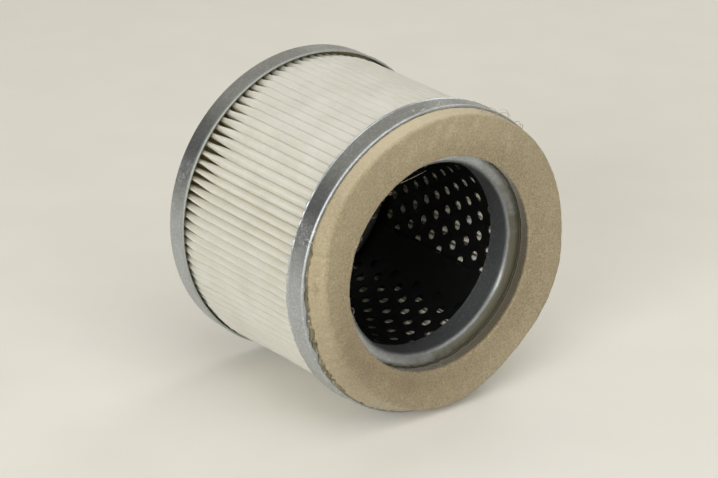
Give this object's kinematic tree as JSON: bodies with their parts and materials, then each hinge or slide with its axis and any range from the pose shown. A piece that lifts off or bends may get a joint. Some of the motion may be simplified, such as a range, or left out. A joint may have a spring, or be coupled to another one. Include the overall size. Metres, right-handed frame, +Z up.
{
  "type": "compressed air filter",
  "caption": "Round pleated filter cartridge with metal end caps, a perforated core tube and a felt ring gasket round its open bore.",
  "frame": {"origin": "on the surface it lies on, under the middle of the cartridge", "axes": "+Y along the cartridge's axis, from the felt gasket towards the closed end; +Z up, with the cartridge lying on the rims of its two end caps"},
  "size_m": [0.0948, 0.0728, 0.0949],
  "materials": {
    "galvanised_steel": "bright zinc coating with fine drawn streaks and light scratches",
    "wool_felt": "pressed wool felt, tan, with stray fibres and smudges",
    "gasket_glue": "cured contact adhesive, olive grey",
    "potting_compound": "cured adhesive, satin",
    "black_steel": "black paint, satin",
    "filter_media": "ivory non-woven sheet with a fine fibre texture"
  },
  "bodies": {
    "root": {"front_end_cap": "galvanised_steel", "rear_end_cap": "galvanised_steel", "felt_gasket": "wool_felt", "gasket_adhesive": "gasket_glue", "front_potting": "potting_compound", "rear_potting": "potting_compound", "core_tube": "black_steel", "pleated_media": "filter_media", "media_seam_glue": "potting_compound"}
  },
  "joints": []
}
